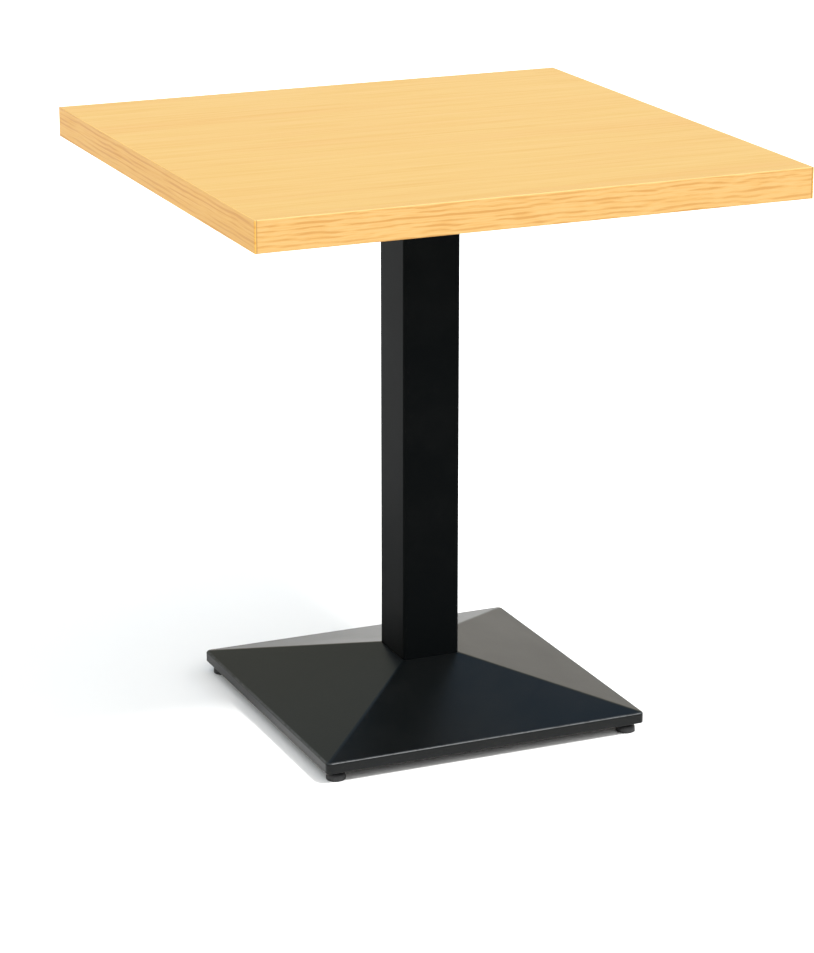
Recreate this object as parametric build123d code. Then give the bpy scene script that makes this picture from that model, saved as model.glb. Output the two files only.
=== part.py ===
from build123d import *
import math
import os

# Bistro table: a square laminate top on a cast pyramid base with one square column.
# Frame: +Z up, origin on the floor under the middle of the table, sides parallel to X and Y.
# Front is -Y, right is +X. All lengths are in millimetres.

# Driving dimensions of the whole table
table_height = 740.0
top_side = 700.0
top_thickness = 38.0
column_side = 76.0
base_side = 430.0

# Top: core between two laminates, with an edge band on each side
laminate_thickness = 0.8
band_thickness = 2.0
band_rounding = 1.0

# Column: cold-formed square steel tube
tube_wall = 2.0
tube_corner_radius = 4.0

# Base: hollow cast pyramid with an upright rim
floor_gap = 14.0
rim_height = 14.0
rim_rounding = 3.0
rim_corner_radius = 7.0
pyramid_rise = 46.0
pyramid_corner_radius = 3.5
casting_wall = 6.0
casting_draft = 2.0
cavity_corner_radius = 3.0
lower_edge_rounding = 1.0
rib_thickness = 7.0
rib_root_drop = 30.0
rib_foot_gap = 2.0
rib_arch_drop = 12.0
rib_arch_share = 0.55
rib_crown_gap = 1.0
gusset_reach = 105.0
gusset_thickness = 5.0
gusset_tip_drop = 21.0
boss_diameter = 52.0
boss_drop = 36.0
seat_margin = 1.0
spigot_height = 16.0
spigot_wall = 7.0
spigot_inner_radius = 3.0
spigot_clearance = 0.3

# Levelling glides: M8 stud that swivels in a plastic pad
glide_inset = 18.0
glide_travel = 8.0
glide_boss_diameter = 26.0
glide_boss_height = 22.0
thread_diameter = 8.0
thread_clearance = 0.05
thread_engagement = 5.0
thread_end_gap = 0.6
thread_chamfer = 1.0
hexagon_across_flats = 13.0
hexagon_gap = 0.1
pad_diameter = 24.0
pad_height = 9.5
pad_shoulder_height = 4.75
pad_crown_diameter = 18.0
stud_neck_diameter = 9.0
stud_disc_diameter = 15.0
stud_disc_thickness = 2.6
pad_sole_thickness = 2.4
pad_edge_radius = 1.2
swivel_clearance = 0.05
swivel_end_play = 0.3

# Mounting spider: cast cross under the top
arm_length = 200.0
arm_root_width = 50.0
arm_tip_width = 28.0
flange_thickness = 6.0
hub_side = 88.0
hub_corner_radius = 10.0
hub_depth = 20.0
arm_lip_thickness = 5.0
arm_lip_tip_depth = 9.0
arm_shoulder_reach = 12.0
screw_places = (96.0, 184.0)
screw_head_diameter = 9.6
screw_shank_diameter = 5.0
screw_length = 30.0
screw_point_length = 6.0
screw_recess_length = 4.6
screw_recess_width = 1.1
screw_recess_depth = 1.8
screw_clearance = 0.3
screw_shank_relief = 0.15
pilot_spare_depth = 1.0

# Tie rod: M12 with nut and washer at each end
rod_diameter = 12.0
rod_hole_diameter = 13.0
nut_across_flats = 18.0
nut_height = 10.0
washer_diameter = 30.0
washer_hole_diameter = 13.0
washer_thickness = 2.5
rod_overhang = 3.0
rod_chamfer = 1.0
nut_corner_cut = 0.06
spider_pocket_diameter = 34.0
spider_pocket_depth = 16.0

# How far a drill or a cutter runs past the face that it leaves
cutter_overrun = 1.0

# Heights and lengths worked out from the driving dimensions
top_bottom_z = table_height - top_thickness
rim_top_z = floor_gap + rim_height
seat_z = rim_top_z + pyramid_rise
seat_side = column_side + 2 * seat_margin
column_top_z = top_bottom_z - hub_depth
boss_bottom_z = seat_z - boss_drop
screw_head_z = top_bottom_z - flange_thickness
glide_centre = base_side / 2 - glide_inset
thread_length = glide_travel + thread_engagement
core_side = top_side - 2 * band_thickness
glide_corners = {
    "front_left": (-1, -1),
    "front_right": (1, -1),
    "back_right": (1, 1),
    "back_left": (-1, 1),
}


def square_prism(side, bottom_z, height, corner_radius=0.0):
    """An upright square prism centred on the table's axis."""
    if corner_radius > 0:
        outline = RectangleRounded(side, side, corner_radius)
    else:
        outline = Rectangle(side, side)
    return extrude(Pos(0, 0, bottom_z) * outline, amount=height)


def disc(diameter, bottom_z, height):
    """An upright cylinder on the table's axis, from its lower face."""
    return Pos(0, 0, bottom_z) * Cylinder(diameter / 2, height, align=(Align.CENTER, Align.CENTER, Align.MIN))


def make_spigot(bottom_z, top_z):
    """Square ring that sits inside the end of the column."""
    outer_side = column_side - 2 * tube_wall - 2 * spigot_clearance
    outer = square_prism(outer_side, bottom_z, top_z - bottom_z, tube_corner_radius - tube_wall)
    return outer - square_prism(outer_side - 2 * spigot_wall, bottom_z, top_z - bottom_z, spigot_inner_radius)


def hexagon_prism(across_flats, bottom_z, height):
    """An upright hexagonal prism on the table's axis, with turned-off corners."""
    outline = RegularPolygon(across_flats / 2, 6, major_radius=False)
    blank = extrude(Pos(0, 0, bottom_z) * outline, amount=height)
    corner_reach = across_flats / math.sqrt(3)
    turned = disc(2 * corner_reach, bottom_z, height)
    turned = chamfer(turned.edges().filter_by(GeomType.CIRCLE), nut_corner_cut * across_flats)
    return blank & turned


# ---- Top ----

def make_top_core():
    """Particleboard core, with a pilot hole over each screw of the spider."""
    core = square_prism(core_side, top_bottom_z + laminate_thickness, top_thickness - 2 * laminate_thickness)
    pilot = disc(screw_shank_diameter, top_bottom_z, screw_length - flange_thickness + pilot_spare_depth)
    for x, y in spider_screw_centres():
        core -= Pos(x, y, 0) * pilot
    return core


def make_top_laminate():
    return square_prism(core_side, table_height - laminate_thickness, laminate_thickness)


def make_underside_laminate():
    """Balancing laminate, drilled through with the core."""
    sheet = square_prism(core_side, top_bottom_z, laminate_thickness)
    pilot = disc(screw_shank_diameter, top_bottom_z - cutter_overrun, laminate_thickness + 2 * cutter_overrun)
    for x, y in spider_screw_centres():
        sheet -= Pos(x, y, 0) * pilot
    return sheet


def make_edge_band(length, overlaps_corners):
    """Edge band along the front, its outer long edges rounded, ends rounded where they show."""
    band = Pos(0, -top_side / 2 + band_thickness / 2, top_bottom_z + top_thickness / 2) * Box(
        length, band_thickness, top_thickness
    )
    outer_face = band.faces().sort_by(Axis.Y)[0]
    if overlaps_corners:
        return fillet(outer_face.edges(), band_rounding)
    return fillet(outer_face.edges().filter_by(Axis.X), band_rounding)


def make_edge_bands():
    """The left and right bands run the full side and cover the ends of the front and back ones."""
    short_band = make_edge_band(core_side, False)
    long_band = make_edge_band(top_side, True)
    return {
        "edge_band_front": short_band,
        "edge_band_back": Rot(0, 0, 180) * short_band,
        "edge_band_right": Rot(0, 0, 90) * long_band,
        "edge_band_left": Rot(0, 0, -90) * long_band,
    }


# ---- Mounting spider ----

def spider_screw_centres():
    """Two screws on each of the four diagonal arms."""
    centres = []
    for arm in range(4):
        angle = math.radians(45 + 90 * arm)
        for reach in screw_places:
            centres.append((reach * math.cos(angle), reach * math.sin(angle)))
    return centres


def make_spider_arm():
    """One arm along +X: a tapered flange with a lip round its edge that deepens towards the hub."""
    root_x = hub_side / 4
    shoulder_x = hub_side / 2 + arm_shoulder_reach
    half_root = arm_root_width / 2
    half_tip = arm_tip_width / 2
    tip_x = arm_length - half_tip
    low_z = top_bottom_z - hub_depth
    outline = make_face(
        Polyline((root_x, half_root), (tip_x, half_tip), (tip_x, -half_tip), (root_x, -half_root), close=True)
    )
    outline += Pos(tip_x, 0) * Circle(half_tip)
    side = make_face(
        Polyline((root_x, low_z), (root_x, top_bottom_z), (arm_length, top_bottom_z),
                 (arm_length, top_bottom_z - arm_lip_tip_depth), (shoulder_x, low_z), close=True)
    )
    arm = extrude(Pos(0, 0, low_z) * outline, amount=hub_depth)
    arm &= extrude(Plane.XZ * side, amount=arm_root_width, both=True)
    channel = offset(outline, -arm_lip_thickness)
    return arm - extrude(Pos(0, 0, low_z) * channel, amount=hub_depth - flange_thickness)


def make_mounting_spider():
    """Cast cross: hub on the column, four channelled arms on the diagonals, countersunk screw holes."""
    spider = square_prism(hub_side, top_bottom_z - hub_depth, hub_depth, hub_corner_radius)
    arm = make_spider_arm()
    for quarter in range(4):
        spider += Rot(0, 0, 45 + 90 * quarter) * arm
    spider += make_spigot(column_top_z - spigot_height, column_top_z)
    spider -= disc(spider_pocket_diameter, top_bottom_z - spider_pocket_depth, spider_pocket_depth)
    spider -= disc(rod_hole_diameter, column_top_z - cutter_overrun, hub_depth)
    hole = disc(screw_shank_diameter + 2 * screw_clearance, screw_head_z, flange_thickness)
    sink = Cone(
        screw_head_diameter / 2 + screw_clearance, screw_shank_diameter / 2 + screw_clearance,
        (screw_head_diameter - screw_shank_diameter) / 2 + screw_clearance,
        align=(Align.CENTER, Align.CENTER, Align.MIN),
    )
    for x, y in spider_screw_centres():
        spider -= Pos(x, y, 0) * (hole + Pos(0, 0, screw_head_z) * sink)
    return spider


def make_spider_screws():
    """Eight countersunk wood screws, driven up through the arms into the core."""
    head_radius = screw_head_diameter / 2
    shank_radius = screw_shank_diameter / 2 - screw_shank_relief
    neck_z = screw_head_z + (screw_head_diameter - screw_shank_diameter) / 2
    tip_z = screw_head_z + screw_length
    profile = make_face(
        Polyline((0, screw_head_z), (head_radius, screw_head_z), (shank_radius, neck_z),
                 (shank_radius, tip_z - screw_point_length), (0, tip_z), close=True)
    )
    screw = revolve(Plane.XZ * profile, Axis.Z)
    recess_arm = Box(screw_recess_length, screw_recess_width, 2 * screw_recess_depth)
    screw -= Pos(0, 0, screw_head_z) * (recess_arm + Rot(0, 0, 90) * recess_arm)
    return Compound([Pos(x, y, 0) * screw for x, y in spider_screw_centres()])


# ---- Column and tie rod ----

def make_column_tube():
    length = column_top_z - seat_z
    outer = square_prism(column_side, seat_z, length, tube_corner_radius)
    return outer - square_prism(column_side - 2 * tube_wall, seat_z, length, tube_corner_radius - tube_wall)


def make_washer(bottom_z):
    blank = disc(washer_diameter, bottom_z, washer_thickness)
    return blank - disc(washer_hole_diameter, bottom_z, washer_thickness)


def make_nut(bottom_z):
    return hexagon_prism(nut_across_flats, bottom_z, nut_height) - disc(rod_diameter, bottom_z, nut_height)


def make_tie_rod_set():
    """Threaded rod with a washer and a nut in the spider's pocket and the same under the centre boss."""
    pocket_floor_z = top_bottom_z - spider_pocket_depth
    top_nut_z = pocket_floor_z + washer_thickness
    bottom_washer_z = boss_bottom_z - washer_thickness
    bottom_nut_z = bottom_washer_z - nut_height
    rod_bottom_z = bottom_nut_z - rod_overhang
    rod_top_z = top_nut_z + nut_height + rod_overhang
    rod = disc(rod_diameter, rod_bottom_z, rod_top_z - rod_bottom_z)
    rod = chamfer(rod.edges().filter_by(GeomType.CIRCLE), rod_chamfer)
    return {
        "tie_rod": rod,
        "top_washer": make_washer(pocket_floor_z),
        "top_nut": make_nut(top_nut_z),
        "bottom_washer": make_washer(bottom_washer_z),
        "bottom_nut": make_nut(bottom_nut_z),
    }


# ---- Base casting ----

def make_pyramid_shell():
    """The visible form: upright rim with a rounded upper edge and four slopes up to the column seat."""
    rim = square_prism(base_side, floor_gap, rim_height, rim_corner_radius)
    rim = fillet(rim.faces().sort_by(Axis.Z)[-1].edges(), rim_rounding)
    rim = fillet(rim.faces().sort_by(Axis.Z)[0].edges(), lower_edge_rounding)
    slope_side = base_side - 2 * rim_rounding
    slopes = loft([
        Pos(0, 0, rim_top_z) * RectangleRounded(slope_side, slope_side, pyramid_corner_radius),
        Pos(0, 0, seat_z) * RectangleRounded(seat_side, seat_side, pyramid_corner_radius),
    ])
    return rim + slopes


def make_pyramid_cavity():
    """The hollow under the slopes, one wall in from them, its rim side drawn out with casting draft."""
    mouth_side = base_side - 2 * casting_wall
    neck_side = mouth_side - 2 * casting_draft
    neck_z = rim_top_z - casting_wall
    crown_side = seat_side - 2 * seat_margin
    mouth = loft([
        Pos(0, 0, floor_gap) * RectangleRounded(mouth_side, mouth_side, cavity_corner_radius),
        Pos(0, 0, neck_z) * RectangleRounded(neck_side, neck_side, cavity_corner_radius),
    ])
    crown = loft([
        Pos(0, 0, neck_z) * RectangleRounded(neck_side, neck_side, cavity_corner_radius),
        Pos(0, 0, seat_z - casting_wall) * RectangleRounded(crown_side, crown_side, cavity_corner_radius),
    ])
    return mouth + crown


def make_diagonal_rib():
    """Rib from the centre boss to a corner boss, its lower edge arched upwards."""
    reach = glide_centre * math.sqrt(2)
    foot_z = floor_gap + rib_foot_gap
    root_z = seat_z - rib_root_drop
    crown_z = seat_z - rib_crown_gap
    side = make_face([
        Line((0, crown_z), (0, root_z)),
        ThreePointArc((0, root_z), (rib_arch_share * reach, root_z - rib_arch_drop), (reach, foot_z)),
        Line((reach, foot_z), (reach, rim_top_z)),
        Line((reach, rim_top_z), (0, crown_z)),
    ])
    return extrude(Plane.XZ * side, amount=rib_thickness / 2, both=True)


def make_gusset():
    """Short rib that ties the centre boss to the middle of a slope."""
    crown_z = seat_z - rib_crown_gap
    side = make_face(
        Polyline((0, crown_z), (0, seat_z - rib_root_drop), (gusset_reach, seat_z - gusset_tip_drop),
                 (gusset_reach, crown_z), close=True)
    )
    return extrude(Plane.XZ * side, amount=gusset_thickness / 2, both=True)


def make_base_casting():
    """Hollow pyramid with centre boss, ribs, tapped corner bosses and a spigot inside the column."""
    outer = make_pyramid_shell()
    inside = disc(boss_diameter, boss_bottom_z, boss_drop)
    glide_boss = disc(glide_boss_diameter, floor_gap, glide_boss_height)
    for quarter in range(4):
        turn = Rot(0, 0, 90 * quarter)
        inside += turn * Rot(0, 0, 45) * make_diagonal_rib()
        inside += turn * make_gusset()
        inside += turn * Pos(glide_centre, glide_centre, 0) * glide_boss
    casting = outer - make_pyramid_cavity() + (inside & outer)
    casting += make_spigot(seat_z, seat_z + spigot_height)
    casting -= disc(rod_hole_diameter, floor_gap, seat_z + spigot_height)
    hole = disc(thread_diameter + 2 * thread_clearance, floor_gap, thread_length + thread_end_gap)
    for side_x, side_y in glide_corners.values():
        casting -= Pos(side_x * glide_centre, side_y * glide_centre, 0) * hole
    return casting


# ---- Levelling glides ----

def make_glide_pad():
    """Round plastic pad: a shallow cup whose lip is snapped over the stud's disc."""
    disc_room = stud_disc_thickness + 2 * swivel_end_play
    rim_radius = pad_diameter / 2
    crown_radius = pad_crown_diameter / 2
    outside = make_face([
        Line((0, 0), (rim_radius - pad_edge_radius, 0)),
        RadiusArc((rim_radius - pad_edge_radius, 0), (rim_radius, pad_edge_radius), -pad_edge_radius),
        Line((rim_radius, pad_edge_radius), (rim_radius, pad_shoulder_height)),
        TangentArc((rim_radius, pad_shoulder_height), (crown_radius, pad_height), tangent=(0, 1)),
        Line((crown_radius, pad_height), (0, pad_height)),
        Line((0, pad_height), (0, 0)),
    ])
    pad = revolve(Plane.XZ * outside, Axis.Z)
    pad -= disc(stud_disc_diameter + 2 * swivel_end_play, pad_sole_thickness, disc_room)
    pad -= disc(stud_neck_diameter + 2 * swivel_clearance, pad_sole_thickness + disc_room, pad_height)
    return pad


def make_glide_stud():
    """Steel stud: swivel disc in the pad, neck, spanner hexagon and M8 thread at its major diameter."""
    disc_z = pad_sole_thickness + swivel_end_play
    hexagon_z = pad_height + swivel_end_play
    hexagon_top_z = floor_gap - hexagon_gap
    stud = disc(stud_disc_diameter, disc_z, stud_disc_thickness)
    stud += disc(stud_neck_diameter, disc_z + stud_disc_thickness, hexagon_z - disc_z - stud_disc_thickness)
    stud += hexagon_prism(hexagon_across_flats, hexagon_z, hexagon_top_z - hexagon_z)
    thread = disc(thread_diameter, hexagon_top_z, thread_length)
    return stud + chamfer(thread.edges().sort_by(Axis.Z)[-1], thread_chamfer)


def make_glides():
    pad = make_glide_pad()
    stud = make_glide_stud()
    glides = {}
    for corner, (side_x, side_y) in glide_corners.items():
        place = Pos(side_x * glide_centre, side_y * glide_centre, 0)
        glides[f"glide_pad_{corner}"] = place * pad
        glides[f"glide_stud_{corner}"] = place * stud
    return glides


def make_table():
    """Every node of the table by name."""
    nodes = {
        "top_core": make_top_core(),
        "top_laminate": make_top_laminate(),
        "underside_laminate": make_underside_laminate(),
        "mounting_spider": make_mounting_spider(),
        "spider_screws": make_spider_screws(),
        "column_tube": make_column_tube(),
        "base_casting": make_base_casting(),
    }
    nodes.update(make_edge_bands())
    nodes.update(make_tie_rod_set())
    nodes.update(make_glides())
    return nodes


os.makedirs("parts", exist_ok=True)
for name, shape in make_table().items():
    export_step(shape, f"parts/{name}.step")
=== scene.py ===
import bpy
import math
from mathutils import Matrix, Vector


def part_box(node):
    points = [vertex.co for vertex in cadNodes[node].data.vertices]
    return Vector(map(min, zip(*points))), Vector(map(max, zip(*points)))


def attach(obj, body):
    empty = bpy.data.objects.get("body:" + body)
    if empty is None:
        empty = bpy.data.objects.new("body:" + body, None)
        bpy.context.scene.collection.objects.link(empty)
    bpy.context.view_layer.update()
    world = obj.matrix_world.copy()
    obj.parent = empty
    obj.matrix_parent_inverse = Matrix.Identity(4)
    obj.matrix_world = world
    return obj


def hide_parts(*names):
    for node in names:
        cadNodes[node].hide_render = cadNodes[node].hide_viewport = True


# Bistro table: beech laminate top, square column and cast pyramid base in black powder coat.
# Metres throughout, +Z up, floor at zero, front is -Y, right is +X.

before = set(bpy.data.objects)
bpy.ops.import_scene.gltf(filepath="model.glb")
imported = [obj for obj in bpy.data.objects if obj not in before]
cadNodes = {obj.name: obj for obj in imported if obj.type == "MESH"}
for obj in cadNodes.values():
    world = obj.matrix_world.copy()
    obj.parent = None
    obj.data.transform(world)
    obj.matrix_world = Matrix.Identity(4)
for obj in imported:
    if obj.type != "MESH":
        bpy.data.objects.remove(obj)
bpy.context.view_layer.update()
scene = bpy.context.scene
corners = ("front_left", "front_right", "back_right", "back_left")
print("frame loaded:", len(cadNodes), "CAD nodes")


# small helpers for node trees

def addNode(tree, kind, **settings):
    made = tree.nodes.new(kind)
    for key, value in settings.items():
        setattr(made, key, value)
    return made


def feed(tree, node, **values):
    # a value, or another node's output, for each input; an underscore stands for a space
    for key, value in values.items():
        socket = node.inputs[key.replace("_", " ")]
        if isinstance(value, bpy.types.NodeSocket):
            tree.links.new(value, socket)
        else:
            socket.default_value = value
    return node


def newMaterial(name):
    material = bpy.data.materials.new(name)
    material.use_nodes = True
    tree = material.node_tree
    shader = tree.nodes["Principled BSDF"]
    return material, tree, shader


def stretchedPlace(tree, stretch, turn=(0, 0, 0), move=(0, 0, 0)):
    # object coordinates, scaled per axis, so a noise of scale 1 has features of 1 / stretch metres
    place = addNode(tree, "ShaderNodeTexCoord").outputs["Object"]
    mapping = addNode(tree, "ShaderNodeMapping")
    feed(tree, mapping, Vector=place, Location=move, Rotation=turn, Scale=stretch)
    return mapping.outputs["Vector"]


def noise(tree, place, scale=1.0, detail=3.0, roughness=0.55, distortion=0.0):
    made = addNode(tree, "ShaderNodeTexNoise")
    feed(tree, made, Vector=place, Scale=scale, Detail=detail, Roughness=roughness, Distortion=distortion)
    return made.outputs["Fac"]


def objectAxes(tree):
    # X, Y and Z of the object coordinates, one by one
    made = addNode(tree, "ShaderNodeSeparateXYZ")
    feed(tree, made, Vector=addNode(tree, "ShaderNodeTexCoord").outputs["Object"])
    return made.outputs


def ramp(tree, factor, stops):
    made = addNode(tree, "ShaderNodeValToRGB")
    feed(tree, made, Fac=factor)
    band = made.color_ramp
    while len(band.elements) < len(stops):
        band.elements.new(0.5)
    for element, (place, colour) in zip(band.elements, stops):
        element.position = place
        element.color = (*colour, 1.0)
    return made.outputs["Color"]


def spread(tree, value, low, high, toLow=0.0, toHigh=1.0):
    made = addNode(tree, "ShaderNodeMapRange", interpolation_type="SMOOTHSTEP")
    feed(tree, made, Value=value, From_Min=low, From_Max=high, To_Min=toLow, To_Max=toHigh)
    return made.outputs["Result"]


def blendColour(tree, factor, first, second, mode="MIX"):
    made = addNode(tree, "ShaderNodeMix", data_type="RGBA", blend_type=mode)
    wanted = {"Factor_Float": factor, "A_Color": first, "B_Color": second}
    for key, value in wanted.items():
        socket = next(one for one in made.inputs if one.identifier == key)
        if isinstance(value, bpy.types.NodeSocket):
            tree.links.new(value, socket)
        elif key == "Factor_Float":
            socket.default_value = value
        else:
            socket.default_value = (*value, 1.0)
    return next(one for one in made.outputs if one.identifier == "Result_Color")


def calc(tree, operation, first, second=0.0, clamp=False):
    made = addNode(tree, "ShaderNodeMath", operation=operation, use_clamp=clamp)
    for socket, value in zip(made.inputs, (first, second)):
        if isinstance(value, bpy.types.NodeSocket):
            tree.links.new(value, socket)
        else:
            socket.default_value = value
    return made.outputs["Value"]


def bump(tree, shader, height, strength, distance):
    # the distance is the relief's depth in metres
    made = addNode(tree, "ShaderNodeBump")
    feed(tree, made, Height=height, Strength=strength, Distance=distance)
    feed(tree, shader, Normal=made.outputs["Normal"])


# beech decor on the top and its edge bands

beech = {
    "light": (0.470, 0.293, 0.083),
    "warm": (0.462, 0.269, 0.072),
    "streak": (0.435, 0.243, 0.057),
    "fleck": (0.30, 0.15, 0.035),
    "glueLine": (0.24, 0.14, 0.05),
    "glueWidth": 0.0005,
    "glueStrength": 0.7,
    "figureStretch": (1.3, 13, 13),      # features per metre along X, Y and Z
    "grainStretch": (5, 150, 150),
    "fleckStretch": (190, 1500, 1500),
    "grainStrength": 0.42,
    "fleckStrength": 0.22,
    "specular": 0.20,
    "smoothest": 0.31,
    "roughest": 0.43,
    "reliefStrength": 0.10,
    "reliefDepth": 0.0002,
}


def glueJoint(tree, reach, end, width, strength):
    # a thin dark line that ends where the piece does
    return spread(tree, reach, end - width, end - 0.3 * width, 0.0, strength)


def beechDecor():
    material, tree, shader = newMaterial("beech decor")
    # soft broad boards
    figure = noise(tree, stretchedPlace(tree, beech["figureStretch"]), 1.0, 4.0, 0.5, 0.6)
    colour = ramp(tree, figure, [(0.30, beech["warm"]), (0.52, beech["light"]), (0.75, beech["warm"])])
    # long fibres, and the short rays of beech between them
    grain = noise(tree, stretchedPlace(tree, beech["grainStretch"]), 1.0, 5.0, 0.6, 0.3)
    fibres = spread(tree, grain, 0.50, 0.78, 0.0, beech["grainStrength"])
    colour = blendColour(tree, fibres, colour, beech["streak"])
    flecks = noise(tree, stretchedPlace(tree, beech["fleckStretch"]), 1.0, 1.0)
    rays = spread(tree, flecks, 0.64, 0.74, 0.0, beech["fleckStrength"])
    colour = blendColour(tree, rays, colour, beech["fleck"])
    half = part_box("top_laminate")[1].x  # the joint with the edge bands
    axes = objectAxes(tree)
    reach = calc(tree, "MAXIMUM", calc(tree, "ABSOLUTE", axes["X"]), calc(tree, "ABSOLUTE", axes["Y"]))
    joint = glueJoint(tree, reach, half, beech["glueWidth"], beech["glueStrength"])
    feed(tree, shader, Base_Color=blendColour(tree, joint, colour, beech["glueLine"]))
    feed(tree, shader, Roughness=spread(tree, grain, 0.3, 0.8, beech["smoothest"], beech["roughest"]))
    shader.inputs["Specular IOR Level"].default_value = beech["specular"]
    relief = calc(tree, "ADD", calc(tree, "MULTIPLY", grain, 0.6), calc(tree, "MULTIPLY", flecks, 0.5))
    bump(tree, shader, relief, beech["reliefStrength"], beech["reliefDepth"])
    return material


edgeBand = {
    "light": (0.485, 0.284, 0.094),
    "streak": (0.415, 0.217, 0.063),
    "pale": (0.508, 0.318, 0.123),
    # paler colour painted along the band's upper edge as a highlight
    "paintedTopHighlight": (0.560, 0.395, 0.160),
    "fleck": (0.33, 0.155, 0.044),
    "rowsPerMetre": 168.0,
    "rowShare": 0.42,        # how regular the rows are
    "wobblePlace": (13, 26),   # along the band and across it, features per metre
    "streakHeight": 260,
    "boardPlace": (1.5, 60),
    "finePlace": (22, 900),
    "fleckPlace": (230, 1500),
    "boardStrength": 0.25,
    "fineStrength": 0.35,
    "fleckStrength": 0.25,
    "paintedTopHighlightHeight": 0.0015,
    "paintedTopHighlightStrength": 0.5,
    "glueWidth": 0.0018,
    "glueStrength": 0.75,
    "specular": 0.08,
    "smoothest": 0.35,
    "roughest": 0.48,
    "reliefStrength": 0.12,
    "reliefDepth": 0.0002,
}


def beechEdge(name, alongX, streaksPerMetre, waver, tone):
    # rows of streaks run along the band, waver a little and run out in points
    material, tree, shader = newMaterial(name)
    # tone tints the band's colours; for the bands along y this tint is painted light
    light, pale, streak = ([part * share for part, share in zip(edgeBand[key], tone)]
                           for key in ("light", "pale", "streak"))

    def bandNoise(place, *settings):
        length, across = place
        stretch = (length, across, across) if alongX else (across, length, across)
        return noise(tree, stretchedPlace(tree, stretch), 1.0, *settings)

    axes = objectAxes(tree)
    wobble = bandNoise(edgeBand["wobblePlace"], 2.0)
    phase = calc(tree, "ADD", calc(tree, "MULTIPLY", axes["Z"], edgeBand["rowsPerMetre"]),
                 calc(tree, "MULTIPLY", wobble, waver))
    wave = calc(tree, "SINE", calc(tree, "MULTIPLY", phase, 2 * math.pi))
    rows = spread(tree, wave, -1.0, 1.0)
    streaks = bandNoise((streaksPerMetre, edgeBand["streakHeight"]), 3.0, 0.5, 0.25)
    streaks = spread(tree, streaks, 0.30, 0.70)
    pattern = calc(tree, "ADD", calc(tree, "MULTIPLY", rows, edgeBand["rowShare"]),
                   calc(tree, "MULTIPLY", streaks, 1.0 - edgeBand["rowShare"]))
    colour = ramp(tree, pattern, [(0.16, streak), (0.42, light), (0.66, pale), (0.92, light)])
    broad = bandNoise(edgeBand["boardPlace"], 2.0)
    boards = spread(tree, broad, 0.45, 0.70, 0.0, edgeBand["boardStrength"])
    colour = blendColour(tree, boards, colour, light)
    fine = bandNoise(edgeBand["finePlace"], 3.0)
    fineLines = spread(tree, fine, 0.54, 0.74, 0.0, edgeBand["fineStrength"])
    colour = blendColour(tree, fineLines, colour, streak)
    flecks = bandNoise(edgeBand["fleckPlace"], 1.0)
    rays = spread(tree, flecks, 0.66, 0.75, 0.0, edgeBand["fleckStrength"])
    colour = blendColour(tree, rays, colour, edgeBand["fleck"])
    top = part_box("edge_band_front")[1].z  # painted highlight: a paler strip along the band's upper edge
    paintedTopHighlight = spread(tree, axes["Z"], top - edgeBand["paintedTopHighlightHeight"], top - 0.4 * edgeBand["paintedTopHighlightHeight"],
                     0.0, edgeBand["paintedTopHighlightStrength"])
    colour = blendColour(tree, paintedTopHighlight, colour, edgeBand["paintedTopHighlight"])
    if alongX:  # glue line beside the long bands that cover these ends
        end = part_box("edge_band_front")[1].x
        joint = glueJoint(tree, calc(tree, "ABSOLUTE", axes["X"]), end, edgeBand["glueWidth"],
                          edgeBand["glueStrength"])
        colour = blendColour(tree, joint, colour, beech["glueLine"])
    feed(tree, shader, Base_Color=colour)
    feed(tree, shader, Roughness=spread(tree, fine, 0.3, 0.8, edgeBand["smoothest"], edgeBand["roughest"]))
    shader.inputs["Specular IOR Level"].default_value = edgeBand["specular"]
    relief = calc(tree, "ADD", fine, calc(tree, "MULTIPLY", streaks, 0.35))
    bump(tree, shader, relief, edgeBand["reliefStrength"], edgeBand["reliefDepth"])
    return material


board = {
    "backing": (0.40, 0.33, 0.25),
    "backingDark": (0.27, 0.21, 0.15),
    "cloudsPerMetre": (9, 9, 9),
    "fibresPerMetre": (700, 900, 700),
    "sandingPerMetre": (6, 1800, 6),
    "backingRelief": 0.15,
    "backingDepth": 0.0002,
    "chip": (0.62, 0.46, 0.28),
    "chipDark": (0.36, 0.24, 0.13),
    "chipsPerMetre": (260, 260, 900),
    "chipRelief": 0.4,
    "chipDepth": 0.0006,
}


def backingLaminate():
    # kraft balancing sheet, with its fibres and sanding lines
    material, tree, shader = newMaterial("backing laminate")
    cloud = noise(tree, stretchedPlace(tree, board["cloudsPerMetre"]), 1.0, 4.0)
    fibres = noise(tree, stretchedPlace(tree, board["fibresPerMetre"]), 1.0, 4.0, 0.65)
    sanding = noise(tree, stretchedPlace(tree, board["sandingPerMetre"]), 1.0, 2.0)
    shade = spread(tree, cloud, 0.3, 0.7, 0.0, 0.6)
    colour = blendColour(tree, shade, board["backing"], board["backingDark"])
    colour = blendColour(tree, spread(tree, fibres, 0.55, 0.75, 0.0, 0.7), colour, board["backingDark"])
    feed(tree, shader, Base_Color=colour)
    feed(tree, shader, Roughness=spread(tree, sanding, 0.3, 0.7, 0.62, 0.78))
    bump(tree, shader, calc(tree, "ADD", fibres, sanding), board["backingRelief"], board["backingDepth"])
    return material


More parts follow.
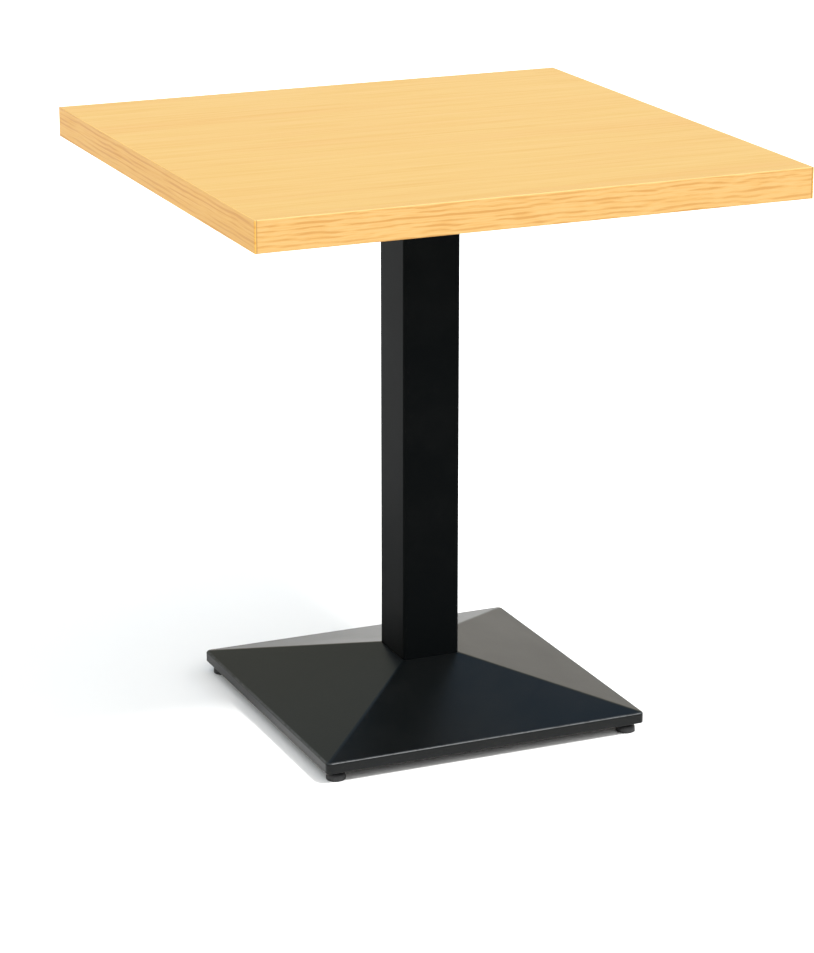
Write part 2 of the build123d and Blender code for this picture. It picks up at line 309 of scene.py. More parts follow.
def particleBoard():
    material, tree, shader = newMaterial("particleboard")
    chips = addNode(tree, "ShaderNodeTexVoronoi")
    feed(tree, chips, Vector=stretchedPlace(tree, board["chipsPerMetre"]), Scale=1.0)
    tone = addNode(tree, "ShaderNodeSeparateColor")
    feed(tree, tone, Color=chips.outputs["Color"])
    shades = [(0.0, board["chipDark"]), (0.45, board["chip"]), (1.0, board["backing"])]
    feed(tree, shader, Base_Color=ramp(tree, tone.outputs["Red"], shades))
    feed(tree, shader, Roughness=spread(tree, tone.outputs["Green"], 0.0, 1.0, 0.75, 0.95))
    bump(tree, shader, chips.outputs["Distance"], board["chipRelief"], board["chipDepth"])
    return material


# black powder coat on the steel column and on the castings

powderCoat = {
    "black": (0.0018, 0.0024, 0.0026),
    "dusty": (0.0062, 0.0066, 0.0064),
    # colour of the painted highlight along the rim's upper edge
    "paintedHighlight": (0.036, 0.040, 0.042),
    "paintedHighlightFrom": 0.0122,   # painted highlight on the base's upper rim edge, from and to these heights above the underside of its rim
    "paintedHighlightTo": 0.0137,
    "cloudsPerMetre": 9.0,
    "castSkinPerMetre": 120.0,
    "gritPerMetre": 3200.0,
    "gritRelief": 0.12,
    "peelRelief": 0.8,
    "reliefStrength": 0.35,
    "reliefDepth": 0.00015,
}
coats = {
    "column": {"name": "powder coat on steel", "roughness": 0.42, "specular": 0.018,
               "peelPerMetre": 420.0, "castRelief": 0.0, "paintedRimHighlight": False},
    "casting": {"name": "powder coat on casting", "roughness": 0.32, "specular": 0.19,
                # the casting carries the painted highlight along its rim
                "peelPerMetre": 380.0, "castRelief": 0.6, "paintedRimHighlight": True},
}


def coatedSurface(coat):
    # orange peel of the coat over the plain or cast metal under it
    material, tree, shader = newMaterial(coat["name"])
    place = stretchedPlace(tree, (1, 1, 1))
    peel = noise(tree, place, coat["peelPerMetre"], 2.0)
    grit = noise(tree, place, powderCoat["gritPerMetre"], 2.0, 0.7)
    cloud = noise(tree, place, powderCoat["cloudsPerMetre"], 5.0, 0.6)
    castSkin = noise(tree, place, powderCoat["castSkinPerMetre"], 5.0, 0.65)
    dust = calc(tree, "MULTIPLY", spread(tree, cloud, 0.42, 0.72), spread(tree, grit, 0.35, 0.75))
    colour = blendColour(tree, dust, powderCoat["black"], powderCoat["dusty"])
    if coat["paintedRimHighlight"]:
        # painted highlight: a lighter band along the rim's upper edge
        colour = blendColour(tree, paintedRimHighlight(tree, castSkin), colour, powderCoat["paintedHighlight"])
    feed(tree, shader, Base_Color=colour)
    uneven = calc(tree, "ADD", calc(tree, "MULTIPLY", cloud, 0.10), calc(tree, "MULTIPLY", grit, 0.06))
    feed(tree, shader, Roughness=calc(tree, "ADD", uneven, coat["roughness"] - 0.08))
    shader.inputs["Specular IOR Level"].default_value = coat["specular"]
    relief = calc(tree, "ADD", calc(tree, "MULTIPLY", peel, powderCoat["peelRelief"]),
                  calc(tree, "MULTIPLY", castSkin, coat["castRelief"]))
    relief = calc(tree, "ADD", relief, calc(tree, "MULTIPLY", grit, powderCoat["gritRelief"]))
    bump(tree, shader, relief, powderCoat["reliefStrength"], powderCoat["reliefDepth"])
    return material


def paintedRimHighlight(tree, patches):
    # a painted highlight: a lighter band along the upper edge of the base's rim, in patches
    height = objectAxes(tree)["Z"]
    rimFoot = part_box("base_casting")[0].z
    start = rimFoot + powderCoat["paintedHighlightFrom"]
    end = rimFoot + powderCoat["paintedHighlightTo"]
    edge = calc(tree, "MULTIPLY", spread(tree, height, start, start + 0.0008),
                spread(tree, height, end, end + 0.0004, 1.0, 0.0))
    return calc(tree, "MULTIPLY", edge, spread(tree, patches, 0.36, 0.56, 0.35, 1.0))


hardware = {
    "zinc": (0.60, 0.61, 0.60),
    "zincWarm": (0.66, 0.62, 0.50),
    "zincSmoothest": 0.26,
    "zincRoughest": 0.46,
    "zincCloudsPerMetre": (160, 160, 160),
    "brushingPerMetre": (2500, 2500, 300),
    "brushingRelief": 0.12,
    "blackened": (0.030, 0.030, 0.032),
    "blackenedWorn": (0.11, 0.105, 0.10),
    "blackenedSmoothest": 0.34,
    "blackenedRoughest": 0.52,
    "wearPerMetre": (420, 420, 420),
    "turningPerMetre": (200, 200, 3800),
    "turningRelief": 0.15,
    "reliefDepth": 0.0001,
}


def zincSteel():
    material, tree, shader = newMaterial("zinc plated steel")
    cloud = noise(tree, stretchedPlace(tree, hardware["zincCloudsPerMetre"]), 1.0, 4.0)
    brushed = noise(tree, stretchedPlace(tree, hardware["brushingPerMetre"]), 1.0, 2.0)
    colour = blendColour(tree, spread(tree, cloud, 0.4, 0.7), hardware["zinc"], hardware["zincWarm"])
    feed(tree, shader, Base_Color=colour)
    feed(tree, shader, Roughness=spread(tree, brushed, 0.3, 0.7, hardware["zincSmoothest"],
                                        hardware["zincRoughest"]))
    shader.inputs["Metallic"].default_value = 1.0
    bump(tree, shader, brushed, hardware["brushingRelief"], hardware["reliefDepth"])
    return material


def blackenedSteel():
    material, tree, shader = newMaterial("blackened steel")
    wear = noise(tree, stretchedPlace(tree, hardware["wearPerMetre"]), 1.0, 4.0, 0.6)
    turning = noise(tree, stretchedPlace(tree, hardware["turningPerMetre"]), 1.0, 1.0)
    worn = spread(tree, wear, 0.58, 0.72, 0.0, 0.7)
    feed(tree, shader, Base_Color=blendColour(tree, worn, hardware["blackened"], hardware["blackenedWorn"]))
    feed(tree, shader, Roughness=spread(tree, wear, 0.3, 0.7, hardware["blackenedSmoothest"],
                                        hardware["blackenedRoughest"]))
    shader.inputs["Metallic"].default_value = 0.9
    bump(tree, shader, turning, hardware["turningRelief"], hardware["reliefDepth"])
    return material


padPlastic = {
    "black": (0.010, 0.010, 0.011),
    "scuffed": (0.035, 0.034, 0.032),
    "scuffsPerMetre": (260, 260, 60),
    "sparkPerMetre": 2400.0,
    "smoothest": 0.55,
    "roughest": 0.70,
    "reliefStrength": 0.25,
    "reliefDepth": 0.0001,
}


def mouldedPlastic():
    # matt plastic from a spark-eroded mould, scuffed on its sides
    material, tree, shader = newMaterial("moulded black plastic")
    spark = noise(tree, stretchedPlace(tree, (1, 1, 1)), padPlastic["sparkPerMetre"], 3.0, 0.6)
    scuffs = noise(tree, stretchedPlace(tree, padPlastic["scuffsPerMetre"]), 1.0, 4.0, 0.7)
    scuffed = spread(tree, scuffs, 0.56, 0.74, 0.0, 0.8)
    feed(tree, shader, Base_Color=blendColour(tree, scuffed, padPlastic["black"], padPlastic["scuffed"]))
    feed(tree, shader, Roughness=spread(tree, scuffs, 0.3, 0.7, padPlastic["smoothest"],
                                        padPlastic["roughest"]))
    bump(tree, shader, spark, padPlastic["reliefStrength"], padPlastic["reliefDepth"])
    return material


materials = {
    "beech": beechDecor(),
    "edgeX": beechEdge("beech edge along x", True, 20.0, 1.7, (1.0, 1.0, 1.0)),
    # painted light: the bands along y get a warmer, less blue tint than those along x
    "edgeY": beechEdge("beech edge along y", False, 5.0, 1.0, (1.13, 1.03, 0.68)),
    "backing": backingLaminate(),
    "particle": particleBoard(),
    "column": coatedSurface(coats["column"]),
    "casting": coatedSurface(coats["casting"]),
    "zinc": zincSteel(),
    "blackened": blackenedSteel(),
    "plastic": mouldedPlastic(),
}
print("materials made:", len(materials))


# screws, studs and the tie rod, made with Geometry Nodes

def newGeometryTree(name, sizes):
    # sizes: the name of each input and its socket type
    tree = bpy.data.node_groups.new(name, "GeometryNodeTree")
    for label, kind in sizes.items():
        tree.interface.new_socket(label, in_out="INPUT", socket_type=kind)
    tree.interface.new_socket("Geometry", in_out="OUTPUT", socket_type="NodeSocketGeometry")
    given = tree.nodes.new("NodeGroupInput").outputs
    return tree, given


def closeTree(tree, geometry, material=None):
    if material is not None:
        real = addNode(tree, "GeometryNodeRealizeInstances")
        tree.links.new(geometry, real.inputs["Geometry"])
        paint = addNode(tree, "GeometryNodeSetMaterial")
        tree.links.new(real.outputs["Geometry"], paint.inputs["Geometry"])
        tree.links.new(material, paint.inputs["Material"])
        geometry = paint.outputs["Geometry"]
    tree.links.new(geometry, tree.nodes.new("NodeGroupOutput").inputs[0])
    return tree


def pick(tree, index, values):
    # one of the values, by a whole number
    made = addNode(tree, "GeometryNodeIndexSwitch", data_type="FLOAT")
    while len(made.index_switch_items) < len(values):
        made.index_switch_items.new()
    feed(tree, made, Index=index)
    for place, value in enumerate(values):
        feed(tree, made, **{str(place): value})
    return made.outputs["Output"]


def moved(tree, mesh, position):
    made = addNode(tree, "GeometryNodeSetPosition")
    feed(tree, made, Geometry=mesh, Position=position)
    return made.outputs["Geometry"]


def joined(tree, *meshes):
    made = addNode(tree, "GeometryNodeJoinGeometry")
    for mesh in reversed(meshes):
        tree.links.new(mesh, made.inputs["Geometry"])
    return made.outputs["Geometry"]


def polar(tree, angle, radius, height):
    made = addNode(tree, "ShaderNodeCombineXYZ")
    feed(tree, made, X=calc(tree, "MULTIPLY", radius, calc(tree, "COSINE", angle)),
         Y=calc(tree, "MULTIPLY", radius, calc(tree, "SINE", angle)), Z=height)
    return made.outputs["Vector"]


def creased(tree, mesh, angle):
    # smooth faces, sharp where two of them meet at more than the angle
    faces = addNode(tree, "GeometryNodeSetShadeSmooth", domain="FACE")
    feed(tree, faces, Geometry=mesh, Shade_Smooth=True)
    bend = addNode(tree, "GeometryNodeInputMeshEdgeAngle").outputs["Unsigned Angle"]
    edges = addNode(tree, "GeometryNodeSetShadeSmooth", domain="EDGE")
    feed(tree, edges, Geometry=faces.outputs["Geometry"], Shade_Smooth=False,
         Selection=calc(tree, "GREATER_THAN", bend, math.radians(angle)))
    return edges.outputs["Geometry"]


threadShape = {
    "rootFlat": 0.167,   # shares of the pitch
    "flank": 0.354,
    "crestFlat": 0.125,
    "rowsPerTurn": 4.0,
    "spareTurns": 3.0,   # turns that are flattened onto the two ends
    "mergeDistance": 2e-6,
}


def makeThreadTree():
    # A closed threaded bar along Z. Its rows climb one pitch each turn, so the helix follows them,
    # and at the ends they flatten onto the end faces.
    tree, given = newGeometryTree("threaded bar", {
        "Major": "NodeSocketFloat", "Minor": "NodeSocketFloat", "Pitch": "NodeSocketFloat",
        "Bottom": "NodeSocketFloat", "Top": "NodeSocketFloat", "Tip": "NodeSocketFloat",
        "Tip Slope": "NodeSocketFloat", "Sides": "NodeSocketInt"})
    length = calc(tree, "SUBTRACT", given["Top"], given["Bottom"])
    rowsPerTurn = threadShape["rowsPerTurn"]
    wholeTurns = calc(tree, "CEIL", calc(tree, "DIVIDE", length, given["Pitch"]))
    turns = calc(tree, "ADD", wholeTurns, threadShape["spareTurns"])
    rows = calc(tree, "MULTIPLY", turns, rowsPerTurn)
    grid = addNode(tree, "GeometryNodeMeshGrid")
    feed(tree, grid, Size_X=1.0, Size_Y=calc(tree, "SUBTRACT", rows, 1.0),
         Vertices_X=calc(tree, "ADD", given["Sides"], 1.0), Vertices_Y=rows)
    place = addNode(tree, "ShaderNodeSeparateXYZ")
    feed(tree, place, Vector=addNode(tree, "GeometryNodeInputPosition").outputs["Position"])
    roundShare = calc(tree, "ADD", place.outputs["X"], 0.5)  # from 0 to 1 once round the bar
    halfRows = calc(tree, "MULTIPLY", calc(tree, "SUBTRACT", rows, 1.0), 0.5)
    row = calc(tree, "ROUND", calc(tree, "ADD", place.outputs["Y"], halfRows))
    turn = calc(tree, "FLOOR", calc(tree, "DIVIDE", row, rowsPerTurn))
    part = calc(tree, "SUBTRACT", row, calc(tree, "MULTIPLY", turn, rowsPerTurn))
    root, flank, crest = (threadShape[key] for key in ("rootFlat", "flank", "crestFlat"))
    share = pick(tree, part, (0.0, root, root + flank, root + flank + crest))
    climbed = calc(tree, "ADD", calc(tree, "ADD", calc(tree, "SUBTRACT", turn, 2.0), share), roundShare)
    free = calc(tree, "ADD", given["Bottom"], calc(tree, "MULTIPLY", given["Pitch"], climbed))
    height = calc(tree, "MINIMUM", calc(tree, "MAXIMUM", free, given["Bottom"]), given["Top"])
    depth = calc(tree, "SUBTRACT", given["Major"], given["Minor"])
    raised = calc(tree, "MULTIPLY", depth, pick(tree, part, (0.0, 0.0, 1.0, 1.0)))
    thread = calc(tree, "ADD", given["Minor"], raised)
    fromTop = calc(tree, "SUBTRACT", given["Top"], height)
    tip = calc(tree, "ADD", given["Tip"], calc(tree, "MULTIPLY", fromTop, given["Tip Slope"]))
    start = calc(tree, "ADD", given["Minor"], calc(tree, "SUBTRACT", height, given["Bottom"]))
    radius = calc(tree, "MINIMUM", thread, calc(tree, "MINIMUM", tip, start))
    inside = calc(tree, "MULTIPLY", calc(tree, "GREATER_THAN", row, 0.5),
                  calc(tree, "LESS_THAN", row, calc(tree, "SUBTRACT", rows, 1.5)))
    angle = calc(tree, "MULTIPLY", roundShare, 2 * math.pi)
    reach = calc(tree, "MULTIPLY", radius, inside)  # the first and last row close the ends
    bar = moved(tree, grid.outputs["Mesh"], polar(tree, angle, reach, height))
    merged = addNode(tree, "GeometryNodeMergeByDistance")
    feed(tree, merged, Geometry=bar, Distance=threadShape["mergeDistance"])
    return closeTree(tree, merged.outputs["Geometry"])


def useTree(tree, inner, **values):
    made = addNode(tree, "GeometryNodeGroup")
    made.node_tree = inner
    feed(tree, made, **values)
    return made.outputs["Geometry"]


def cylinder(tree, radius, bottom, top, sides, rows=1):
    made = addNode(tree, "GeometryNodeMeshCylinder")
    height = calc(tree, "SUBTRACT", top, bottom)
    feed(tree, made, Vertices=sides, Side_Segments=rows, Radius=radius, Depth=height)
    lift = addNode(tree, "GeometryNodeTransform")
    offset = addNode(tree, "ShaderNodeCombineXYZ")
    feed(tree, offset, Z=calc(tree, "MULTIPLY", calc(tree, "ADD", bottom, top), 0.5))
    feed(tree, lift, Geometry=made.outputs["Mesh"], Translation=offset.outputs["Vector"])
    return lift.outputs["Geometry"]


def makePiece(name, tree, values, material, body):
    # evaluates the tree once and keeps the result as a plain mesh
    carrier = bpy.data.objects.new(name + "_nodes", bpy.data.meshes.new(name + "_nodes"))
    scene.collection.objects.link(carrier)
    modifier = carrier.modifiers.new("nodes", "NODES")
    modifier.node_group = tree
    wanted = dict(values, Material=material)
    for item in tree.interface.items_tree:
        if item.in_out == "INPUT" and item.name in wanted:
            modifier[item.identifier] = wanted[item.name]
    mesh = bpy.data.meshes.new_from_object(carrier.evaluated_get(bpy.context.evaluated_depsgraph_get()))
    bpy.data.objects.remove(carrier)
    piece = bpy.data.objects.new(name, mesh)
    mesh.name = name
    scene.collection.objects.link(piece)
    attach(piece, body)
    print("made", name, len(mesh.polygons), "faces")
    return piece


threadTree = makeThreadTree()

stud = {
    "Disc Radius": 0.0075,
    "Disc Height": 0.0026,
    "Neck Radius": 0.0045,
    "Flats": 0.013,
    "Hexagon Height": 0.0041,
    "Thread Length": 0.013,
    "Major": 0.004,
    "Minor": 0.00325,
    "Pitch": 0.00125,
}
studShape = {
    "overlap": 0.0001,       # how far the turned sections reach into each other
    "sides": 40,
    "hexagonSides": 72,
    "hexagonRows": 12,
    "chamferStart": 0.49,    # radius of the chamfer at the hexagon's faces, as a share of the flats
    "chamferSlope": 1.732,
    "creaseAngle": 32,
}


def makeStudTree():
    # levelling stud: swivel disc, neck, chamfered hexagon and thread
    sizes = {key: "NodeSocketFloat" for key in stud}
    tree, given = newGeometryTree("levelling stud", {
        **sizes, "Place": "NodeSocketVector", "Top": "NodeSocketFloat", "Material": "NodeSocketMaterial"})
    overlap = studShape["overlap"]
    sides = studShape["sides"]
    threadFoot = calc(tree, "SUBTRACT", given["Top"], given["Thread Length"])
    hexFoot = calc(tree, "SUBTRACT", threadFoot, given["Hexagon Height"])
    thread = useTree(tree, threadTree, Major=given["Major"], Minor=given["Minor"], Pitch=given["Pitch"],
                     Bottom=calc(tree, "SUBTRACT", threadFoot, overlap), Top=given["Top"],
                     Tip=given["Minor"], Tip_Slope=1.0, Sides=sides)
    foot = addNode(tree, "ShaderNodeSeparateXYZ")
    feed(tree, foot, Vector=given["Place"])
    discTop = calc(tree, "ADD", foot.outputs["Z"], given["Disc Height"])
    disc = cylinder(tree, given["Disc Radius"], foot.outputs["Z"], discTop, sides)
    neck = cylinder(tree, given["Neck Radius"], calc(tree, "SUBTRACT", discTop, overlap),
                    calc(tree, "ADD", hexFoot, overlap), sides)
    # hexagon: a fine cylinder drawn in to the flats, and to a shallow cone at both ends
    blank = cylinder(tree, 1.0, hexFoot, threadFoot, studShape["hexagonSides"], studShape["hexagonRows"])
    place = addNode(tree, "ShaderNodeSeparateXYZ")
    feed(tree, place, Vector=addNode(tree, "GeometryNodeInputPosition").outputs["Position"])
    angle = calc(tree, "ARCTAN2", place.outputs["Y"], place.outputs["X"])
    sixth = math.pi / 3
    wrapped = calc(tree, "SUBTRACT", calc(tree, "FLOORED_MODULO", angle, sixth), sixth / 2)
    flat = calc(tree, "DIVIDE", calc(tree, "MULTIPLY", given["Flats"], 0.5), calc(tree, "COSINE", wrapped))
    toEnd = calc(tree, "MINIMUM", calc(tree, "SUBTRACT", place.outputs["Z"], hexFoot),
                 calc(tree, "SUBTRACT", threadFoot, place.outputs["Z"]))
    cone = calc(tree, "ADD", calc(tree, "MULTIPLY", given["Flats"], studShape["chamferStart"]),
                calc(tree, "MULTIPLY", toEnd, studShape["chamferSlope"]))
    hexagon = moved(tree, blank, polar(tree, angle, calc(tree, "MINIMUM", flat, cone), place.outputs["Z"]))
    whole = creased(tree, joined(tree, disc, neck, hexagon, thread), studShape["creaseAngle"])
    spot = addNode(tree, "ShaderNodeCombineXYZ")
    feed(tree, spot, X=foot.outputs["X"], Y=foot.outputs["Y"])
    lift = addNode(tree, "GeometryNodeTransform")
    feed(tree, lift, Geometry=whole, Translation=spot.outputs["Vector"])
    return closeTree(tree, lift.outputs["Geometry"], given["Material"])


studTree = makeStudTree()
for corner in corners:
    low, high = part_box("glide_stud_" + corner)
    place = Vector(((low.x + high.x) / 2, (low.y + high.y) / 2, low.z))
    piece = makePiece("levelling_stud_" + corner, studTree, dict(stud, Place=place, Top=high.z),
                      materials["blackened"], "stud_" + corner)
    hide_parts("glide_stud_" + corner)

rod = {
    "Major": 0.006,
    "Minor": 0.00492,
    "Pitch": 0.00175,
    "Threaded": 0.045,
}
rodShape = {"overlap": 0.001, "shankShare": 0.995, "sides": 48, "creaseAngle": 32}


def makeRodTree():
    # tie rod: a plain shank with a thread at each end
    sizes = {key: "NodeSocketFloat" for key in rod}
    tree, given = newGeometryTree("tie rod", {
        **sizes, "Bottom": "NodeSocketFloat", "Top": "NodeSocketFloat", "Material": "NodeSocketMaterial"})
    common = {"Major": given["Major"], "Minor": given["Minor"], "Pitch": given["Pitch"],
              "Tip": given["Minor"], "Tip_Slope": 1.0, "Sides": rodShape["sides"]}
    lowEnd = calc(tree, "ADD", given["Bottom"], given["Threaded"])
    highEnd = calc(tree, "SUBTRACT", given["Top"], given["Threaded"])
    lower = useTree(tree, threadTree, Bottom=given["Bottom"], Top=lowEnd, **common)
    upper = useTree(tree, threadTree, Bottom=highEnd, Top=given["Top"], **common)
    shank = cylinder(tree, calc(tree, "MULTIPLY", given["Major"], rodShape["shankShare"]),
                     calc(tree, "SUBTRACT", lowEnd, rodShape["overlap"]),
                     calc(tree, "ADD", highEnd, rodShape["overlap"]), rodShape["sides"])
    whole = creased(tree, joined(tree, lower, shank, upper), rodShape["creaseAngle"])
    return closeTree(tree, whole, given["Material"])


low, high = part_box("tie_rod")
piece = makePiece("threaded_tie_rod", makeRodTree(), dict(rod, Bottom=low.z, Top=high.z),
                  materials["zinc"], "table")
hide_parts("tie_rod")

woodScrew = {
    "Head Radius": 0.0048,
    "Head Depth": 0.0023,
    "Major": 0.00245,
    "Minor": 0.0016,
    "Pitch": 0.0022,
    "Recess Length": 0.0050,
    "Recess Width": 0.0011,
    "Recess Depth": 0.0024,
    "Inner Reach": 0.096,
    "Outer Reach": 0.184,
    "Seed": 7,
}
screwShape = {
    "shankStart": 0.8,       # the shank starts inside the head, at this share of its depth
    "shankSides": 20,
    "headSides": 40,
    "headRows": 3,
    "tipRadius": 0.0001,
    "tipSlope": 0.4,
    "recessTaper": 0.003,    # height over which the recess narrows
    "recessMouth": 1.25,
    "recessFloor": 0.35,
    "arms": 4,
    "creaseAngle": 28,
}


def makeScrewTree():
    # countersunk wood screws with a cross recess, two on each arm of the spider
    sizes = {key: "NodeSocketInt" if key == "Seed" else "NodeSocketFloat" for key in woodScrew}
    tree, given = newGeometryTree("wood screws", {
        **sizes, "Bottom": "NodeSocketFloat", "Top": "NodeSocketFloat", "Material": "NodeSocketMaterial"})
    length = calc(tree, "SUBTRACT", given["Top"], given["Bottom"])
    shank = useTree(tree, threadTree, Major=given["Major"], Minor=given["Minor"], Pitch=given["Pitch"],
                    Bottom=calc(tree, "MULTIPLY", given["Head Depth"], screwShape["shankStart"]),
                    Top=length, Tip=screwShape["tipRadius"], Tip_Slope=screwShape["tipSlope"],
                    Sides=screwShape["shankSides"])
    head = addNode(tree, "GeometryNodeMeshCone")
    feed(tree, head, Vertices=screwShape["headSides"], Side_Segments=screwShape["headRows"],
         Radius_Top=given["Minor"], Radius_Bottom=given["Head Radius"], Depth=given["Head Depth"])
    cross = []
    for turned in (0.0, math.pi / 2):
        slot = addNode(tree, "GeometryNodeMeshCube")
        size = addNode(tree, "ShaderNodeCombineXYZ")
        feed(tree, size, X=given["Recess Length"], Y=given["Recess Width"],
             Z=calc(tree, "MULTIPLY", given["Recess Depth"], 2.0))
        feed(tree, slot, Size=size.outputs["Vector"])
        place = addNode(tree, "ShaderNodeSeparateXYZ")
        feed(tree, place, Vector=addNode(tree, "GeometryNodeInputPosition").outputs["Position"])
        taperEnd = screwShape["recessTaper"]  # the recess narrows inwards
        slim = spread(tree, place.outputs["Z"], -taperEnd, taperEnd, screwShape["recessMouth"],
                      screwShape["recessFloor"])
        taper = addNode(tree, "ShaderNodeCombineXYZ")
        feed(tree, taper, X=calc(tree, "MULTIPLY", place.outputs["X"], slim), Y=place.outputs["Y"],
             Z=place.outputs["Z"])
        turn = addNode(tree, "GeometryNodeTransform")
        feed(tree, turn, Geometry=moved(tree, slot.outputs["Mesh"], taper.outputs["Vector"]),
             Rotation=(0.0, 0.0, turned))
        cross.append(turn.outputs["Geometry"])
    cut = addNode(tree, "GeometryNodeMeshBoolean", operation="DIFFERENCE", solver="EXACT")
    tree.links.new(head.outputs["Mesh"], cut.inputs["Mesh 1"])
    for slot in cross:
        tree.links.new(slot, cut.inputs["Mesh 2"])
    one = creased(tree, joined(tree, cut.outputs["Mesh"], shank), screwShape["creaseAngle"])
    rings = []
    for reach in ("Inner Reach", "Outer Reach"):
        ring = addNode(tree, "GeometryNodeMeshCircle")
        feed(tree, ring, Vertices=screwShape["arms"], Radius=given[reach])
        rings.append(ring.outputs["Mesh"])
    arms = addNode(tree, "GeometryNodeTransform")
    up = addNode(tree, "ShaderNodeCombineXYZ")
    feed(tree, up, Z=given["Bottom"])
    feed(tree, arms, Geometry=joined(tree, *rings), Rotation=(0.0, 0.0, math.pi / 4),
         Translation=up.outputs["Vector"])
    yaw = addNode(tree, "FunctionNodeRandomValue", data_type="FLOAT")
    mostTurn = next(socket for socket in yaw.inputs if socket.name == "Max" and socket.enabled)
    mostTurn.default_value = 2 * math.pi
    feed(tree, yaw, Seed=given["Seed"])
    spin = addNode(tree, "ShaderNodeCombineXYZ")
    feed(tree, spin, Z=next(socket for socket in yaw.outputs if socket.enabled))
    scatter = addNode(tree, "GeometryNodeInstanceOnPoints")
    feed(tree, scatter, Points=arms.outputs["Geometry"], Instance=one, Rotation=spin.outputs["Vector"])
    return closeTree(tree, scatter.outputs["Instances"], given["Material"])


low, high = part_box("spider_screws")
piece = makePiece("spider_wood_screws", makeScrewTree(), dict(woodScrew, Bottom=low.z, Top=high.z),
                  materials["zinc"], "table")
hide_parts("spider_screws")

finishOf = {
    "top_core": "particle",
    "top_laminate": "beech",
    "underside_laminate": "backing",
    "edge_band_front": "edgeX",
    "edge_band_back": "edgeX",
    "edge_band_left": "edgeY",
    "edge_band_right": "edgeY",
    "mounting_spider": "casting",
    "column_tube": "column",
    "top_washer": "zinc",
    "top_nut": "zinc",
    "bottom_washer": "zinc",
    "bottom_nut": "zinc",
    "base_casting": "casting",
}
for corner in corners:
    finishOf["glide_pad_" + corner] = "plastic"
for name, finish in finishOf.items():
    cadNodes[name].data.materials.clear()
    cadNodes[name].data.materials.append(materials[finish])
print("CAD nodes painted:", len(finishOf))


# floor, light and camera

studio = {
    "floorColour": (0.94, 0.94, 0.93),
    "floorSize": 40.0,
    "floorRoughness": 0.9,
    # the back wall's brightness from the floor line to straight overhead, by the sine of the height
    "backWall": [(0.00, (1.14, 1.08, 1.00)), (0.20, (0.98, 0.92, 0.80)), (0.44, (0.66, 0.61, 0.36)),
                 (0.68, (0.10, 0.38, 0.80)), (0.82, (0.44, 0.56, 0.72)), (0.95, (1.35, 1.35, 1.33))],
    "frontWall": [(0.00, (0.08, 0.08, 0.08)), (0.20, (0.35, 0.35, 0.35)), (0.42, (1.80, 1.80, 1.80)),
                  (0.62, (2.30, 2.30, 2.28)), (0.95, (1.60, 1.60, 1.60))],
    "wallTurn": (-0.15, 0.30),   # where one wall blends into the other, from front to back
    "lampStrength": 3.2,
    "lampAngle": 9.0,
    "lampTurn": 35.0,   # degrees to the right of the front
    "lampHeight": 56.0,
    "lampDistance": 4.0,
}


def makeFloor():
    half = studio["floorSize"] / 2
    mesh = bpy.data.meshes.new("studio_floor")
    floorCorners = [(-half, -half, 0), (half, -half, 0), (half, half, 0), (-half, half, 0)]
    mesh.from_pydata(floorCorners, [], [(0, 1, 2, 3)])
    floor = bpy.data.objects.new("studio_floor", mesh)
    scene.collection.objects.link(floor)
    material, tree, shader = newMaterial("studio floor")
    shader.inputs["Base Color"].default_value = (*studio["floorColour"], 1.0)
    shader.inputs["Roughness"].default_value = studio["floorRoughness"]
    shader.inputs["Specular IOR Level"].default_value = 0.0
    mesh.materials.append(material)


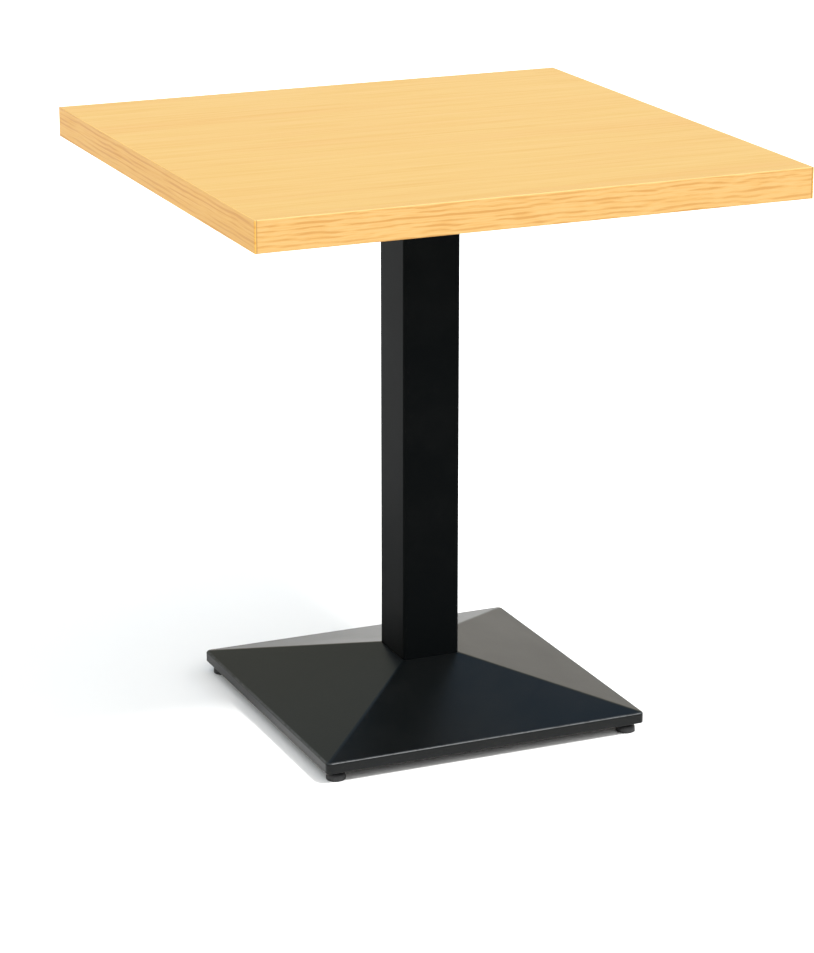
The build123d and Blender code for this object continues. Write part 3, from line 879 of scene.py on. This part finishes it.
def makeSky():
    # a pale wall round the studio, bright behind the camera and darkening upwards behind the table
    world = bpy.data.worlds.new("studio")
    world.use_nodes = True
    tree = world.node_tree
    way = addNode(tree, "ShaderNodeSeparateXYZ")
    feed(tree, way, Vector=addNode(tree, "ShaderNodeTexCoord").outputs["Generated"])
    brightest = max(max(colour) for wall in ("backWall", "frontWall") for _, colour in studio[wall])
    walls = {}
    for wall in ("backWall", "frontWall"):
        stops = [(place, [part / brightest for part in colour]) for place, colour in studio[wall]]
        walls[wall] = ramp(tree, way.outputs["Z"], stops)
    behind = spread(tree, way.outputs["Y"], *studio["wallTurn"])
    feed(tree, tree.nodes["Background"],
         Color=blendColour(tree, behind, walls["frontWall"], walls["backWall"]), Strength=brightest)
    scene.world = world


def makeLamp():
    # one round lamp that draws the thin highlights along the rounded edges
    lamp = bpy.data.lights.new("edge lamp", "SUN")
    lamp.energy = studio["lampStrength"]
    lamp.angle = math.radians(studio["lampAngle"])
    made = bpy.data.objects.new("edge lamp", lamp)
    turn = math.radians(studio["lampTurn"])
    height = math.radians(studio["lampHeight"])
    level = math.cos(height)
    towards = Vector((math.sin(turn) * level, -math.cos(turn) * level, math.sin(height)))
    made.rotation_euler = towards.to_track_quat("Z", "Y").to_euler()
    made.location = towards * studio["lampDistance"]
    scene.collection.objects.link(made)


eye = {
    "turn": 23.4,      # degrees to the left of the front
    "lookDown": 17.5,
    "distance": 4.13,
    "aimLeft": 0.016,  # the table stands a little right of the middle
    "aimHeight": 0.303,
    "lens": 144.7,
    "sensor": 36.0,
}


def makeCamera():
    turn = math.radians(eye["turn"])
    down = math.radians(eye["lookDown"])
    forward = Vector((math.sin(turn) * math.cos(down), math.cos(turn) * math.cos(down), -math.sin(down)))
    aim = Vector((-eye["aimLeft"] * math.cos(turn), eye["aimLeft"] * math.sin(turn), eye["aimHeight"]))
    data = bpy.data.cameras.new("camera")
    data.sensor_fit = "HORIZONTAL"
    data.sensor_width = eye["sensor"]
    data.lens = eye["lens"]
    camera = bpy.data.objects.new("camera", data)
    camera.location = aim - forward * eye["distance"]
    camera.rotation_euler = forward.to_track_quat("-Z", "Y").to_euler()
    scene.collection.objects.link(camera)
    scene.camera = camera


makeFloor()
makeSky()
makeLamp()
makeCamera()
scene.view_settings.view_transform = "Standard"
print("floor, light and camera placed")
